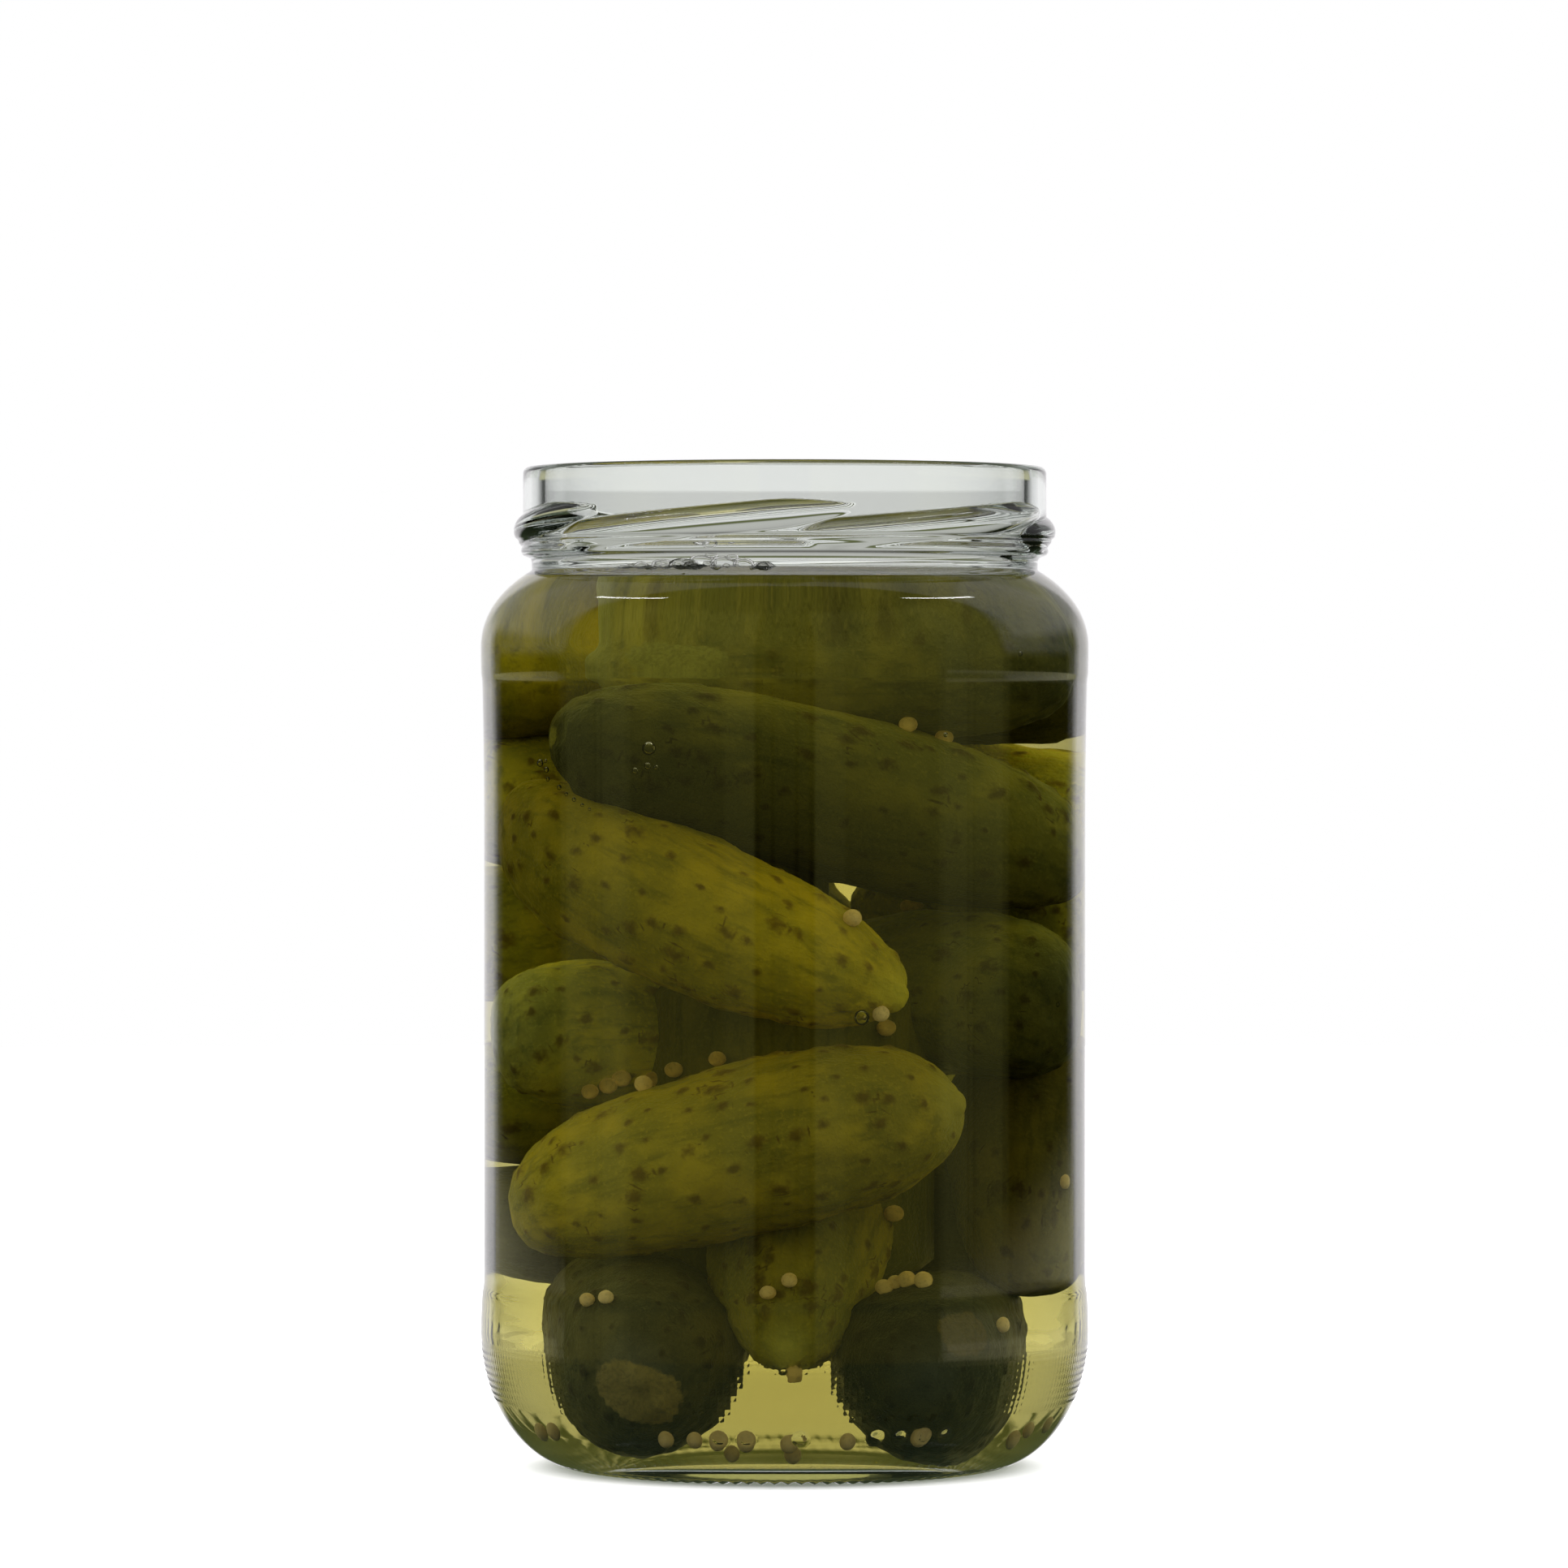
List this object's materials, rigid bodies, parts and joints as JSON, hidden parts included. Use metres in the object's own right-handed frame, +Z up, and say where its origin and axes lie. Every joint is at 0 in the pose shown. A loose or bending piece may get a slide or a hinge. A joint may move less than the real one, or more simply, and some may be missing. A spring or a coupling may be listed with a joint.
{
  "type": "twist-off jar of gherkins",
  "caption": "Open clear glass twist-off jar filled with whole gherkins and mustard seeds in brine, with a thread for its lid.",
  "frame": {"origin": "centre of the jar's base, on the surface that it stands on", "axes": "+Z up along the jar's axis, -Y towards the front, +X to the right seen from the front"},
  "size_m": [0.092, 0.092, 0.1512],
  "materials": {
    "glass": "clear polished soda-lime glass, faintly green where it is thick",
    "gherkin": "wet smooth gherkin skin, olive to dark green, with small dark warts",
    "brine": "clear pale yellow brine",
    "seed": "matt pale tan mustard seed"
  },
  "bodies": {
    "root": {"jar": "glass", "gherkins": "gherkin"}
  },
  "joints": []
}
